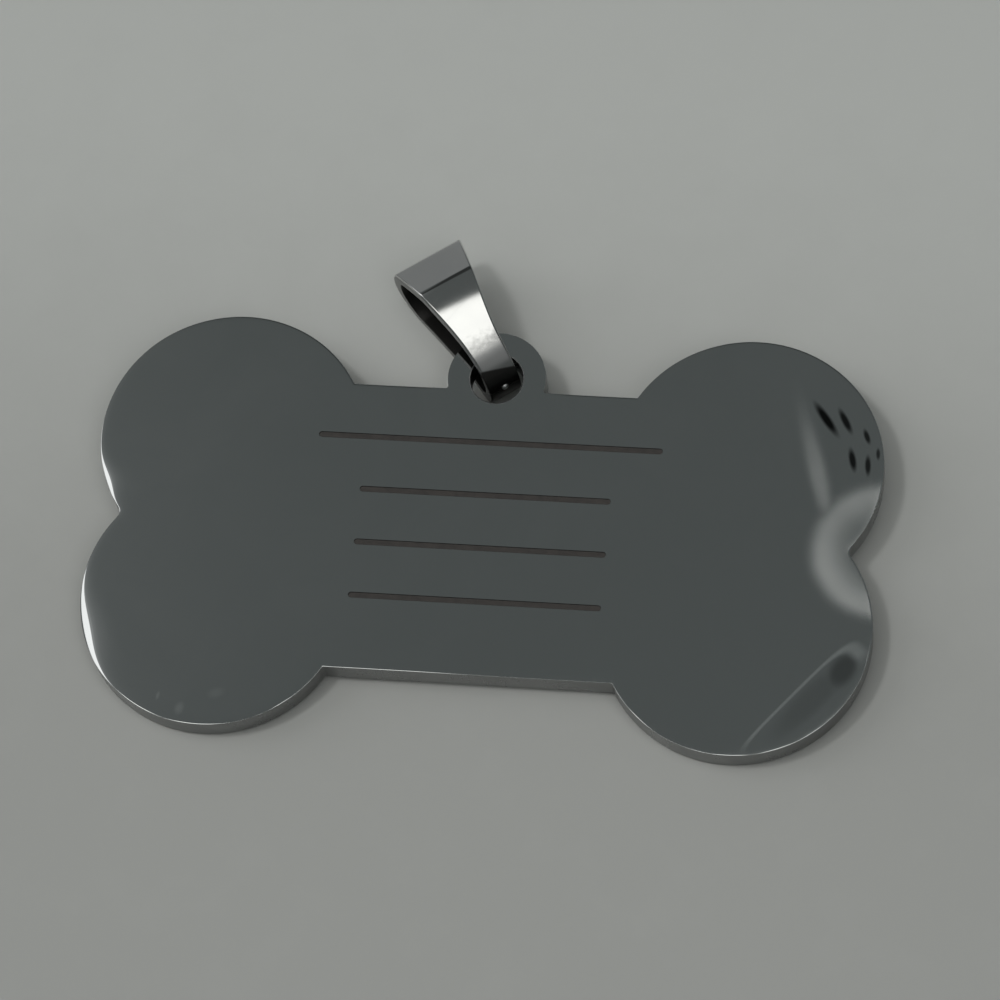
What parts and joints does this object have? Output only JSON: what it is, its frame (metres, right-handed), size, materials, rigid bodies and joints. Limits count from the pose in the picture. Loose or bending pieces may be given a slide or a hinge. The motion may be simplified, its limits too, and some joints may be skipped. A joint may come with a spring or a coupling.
{
  "type": "pet id tag",
  "caption": "Flat bone-shaped steel pet tag with etched rules, and a folded strap bail that swings in a pierced ear on its upper edge.",
  "frame": {"origin": "middle of the bone outline on the plate's back face", "axes": "+X along the bone, +Y towards the ear, +Z out of the marked face"},
  "size_m": [0.05, 0.0339, 0.0056],
  "materials": {
    "plate_steel": "mirror-polished stainless steel with fine handling scratches and dark laser-etched rules",
    "bail_steel": "tumble-polished stainless steel strap"
  },
  "bodies": {
    "plate": {"tag_plate": "plate_steel"},
    "bail": {"bail": "bail_steel"}
  },
  "joints": [
    {"name": "bail_swing", "type": "hinge", "parent": "plate", "child": "bail", "pos_m": [-0.00099, 0.01236, 0.001], "axis": [0.8211, 0.5707, 0], "range_deg": [-105, 85]}
  ]
}
